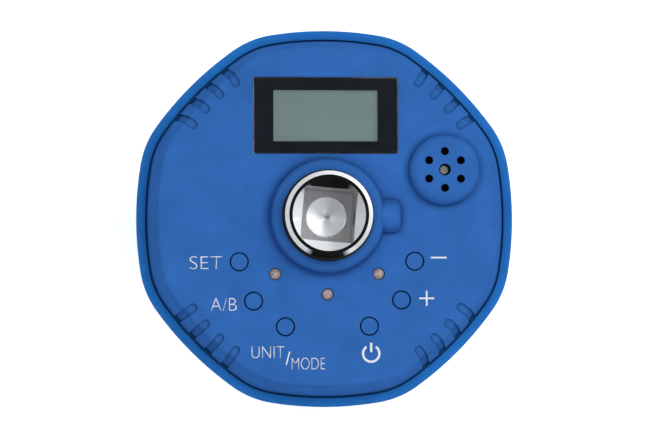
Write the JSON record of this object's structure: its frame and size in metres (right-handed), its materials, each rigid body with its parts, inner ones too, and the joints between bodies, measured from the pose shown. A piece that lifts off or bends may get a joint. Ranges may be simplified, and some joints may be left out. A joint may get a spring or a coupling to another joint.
{
  "type": "digital torque adapter",
  "caption": "Digital torque and angle adapter: a round puck with a square drive through it, a display, press buttons, status lights and a buzzer grille.",
  "frame": {"origin": "on the drive axis at the tip of the male square", "axes": "+Z along the drive axis from the male square to the female square and the display face; +Y to the top of the display; +X to its right"},
  "size_m": [0.095, 0.095, 0.064],
  "materials": {
    "cover_plastic": "finely textured moulded ABS",
    "rim_plastic": "finely textured moulded ABS",
    "button_plastic": "smooth satin",
    "chrome": "polished chrome plate on steel, satin inside the square",
    "ball_steel": "polished",
    "spring_steel": "nickel plated",
    "black_steel": "black oxide",
    "seal_rubber": "matte",
    "window_acrylic": "clear gloss",
    "mask_black": "printed gloss black",
    "lcd_glass": "grey-green blank liquid crystal display",
    "light_guide": "diffuse white",
    "elastomer": "matte",
    "board_green": "solder mask",
    "chip_black": "moulded epoxy",
    "buzzer_metal": "satin",
    "foam": "soft foam",
    "black_plastic": "moulded",
    "led_lens": "diffused clear epoxy",
    "lead_metal": "tinned",
    "cell_jacket": "plain shrink sleeve",
    "screw_zinc": "zinc plated",
    "gauge_foil": "polyimide film",
    "connector_white": "moulded",
    "label_blank": "blank silver film",
    "plunger_plastic": "moulded"
  },
  "bodies": {
    "housing": {"front_cover": "cover_plastic", "rear_cover": "rim_plastic", "drive_shaft": "chrome", "detent_spring": "spring_steel", "shaft_circlip": "black_steel", "housing_seal": "seal_rubber", "rear_seal": "seal_rubber", "front_seal": "seal_rubber", "display_window": "window_acrylic", "window_mask": "mask_black", "lcd_panel": "lcd_glass", "lcd_holder": "black_plastic", "backlight": "light_guide", "lcd_connectors": "elastomer", "main_board": "board_green", "board_chips": "chip_black", "buzzer": "black_plastic", "buzzer_core": "buzzer_metal", "buzzer_gasket": "foam", "switch_bodies": "black_plastic", "status_leds": "led_lens", "led_leads": "lead_metal", "battery_tray": "black_plastic", "battery_cells": "cell_jacket", "battery_springs": "spring_steel", "battery_plates": "spring_steel", "housing_screws": "black_steel", "board_screws": "screw_zinc", "strain_gauges": "gauge_foil", "gauge_flex": "gauge_foil", "flex_connector": "connector_white", "rating_label": "label_blank"},
    "set_key": {"set_button": "button_plastic", "set_plunger": "plunger_plastic"},
    "peak_key": {"peak_button": "button_plastic", "peak_plunger": "plunger_plastic"},
    "mode_key": {"mode_button": "button_plastic", "mode_plunger": "plunger_plastic"},
    "power_key": {"power_button": "button_plastic", "power_plunger": "plunger_plastic"},
    "plus_key": {"plus_button": "button_plastic", "plus_plunger": "plunger_plastic"},
    "minus_key": {"minus_button": "button_plastic", "minus_plunger": "plunger_plastic"},
    "detent": {"detent_ball": "ball_steel"},
    "battery_lid": {"battery_door": "rim_plastic"}
  },
  "joints": [
    {"name": "set_press", "type": "slide", "parent": "housing", "child": "set_key", "axis": [0, 0, -1], "range_m": [0, 0.00035], "stiffness_N_per_m": 4000, "springref_m": -0.0002},
    {"name": "peak_press", "type": "slide", "parent": "housing", "child": "peak_key", "axis": [0, 0, -1], "range_m": [0, 0.00035], "stiffness_N_per_m": 4000, "springref_m": -0.0002},
    {"name": "mode_press", "type": "slide", "parent": "housing", "child": "mode_key", "axis": [0, 0, -1], "range_m": [0, 0.00035], "stiffness_N_per_m": 4000, "springref_m": -0.0002},
    {"name": "power_press", "type": "slide", "parent": "housing", "child": "power_key", "axis": [0, 0, -1], "range_m": [0, 0.00035], "stiffness_N_per_m": 4000, "springref_m": -0.0002},
    {"name": "plus_press", "type": "slide", "parent": "housing", "child": "plus_key", "axis": [0, 0, -1], "range_m": [0, 0.00035], "stiffness_N_per_m": 4000, "springref_m": -0.0002},
    {"name": "minus_press", "type": "slide", "parent": "housing", "child": "minus_key", "axis": [0, 0, -1], "range_m": [0, 0.00035], "stiffness_N_per_m": 4000, "springref_m": -0.0002},
    {"name": "detent_press", "type": "slide", "parent": "housing", "child": "detent", "axis": [-0.9962, 0.0872, 0], "range_m": [0, 0.0008], "stiffness_N_per_m": 6000, "springref_m": -0.0006, "deforming": ["detent_spring"]},
    {"name": "battery_door_slide", "type": "slide", "parent": "housing", "child": "battery_lid", "axis": [0, -1, 0], "range_m": [0, 0.026]}
  ]
}
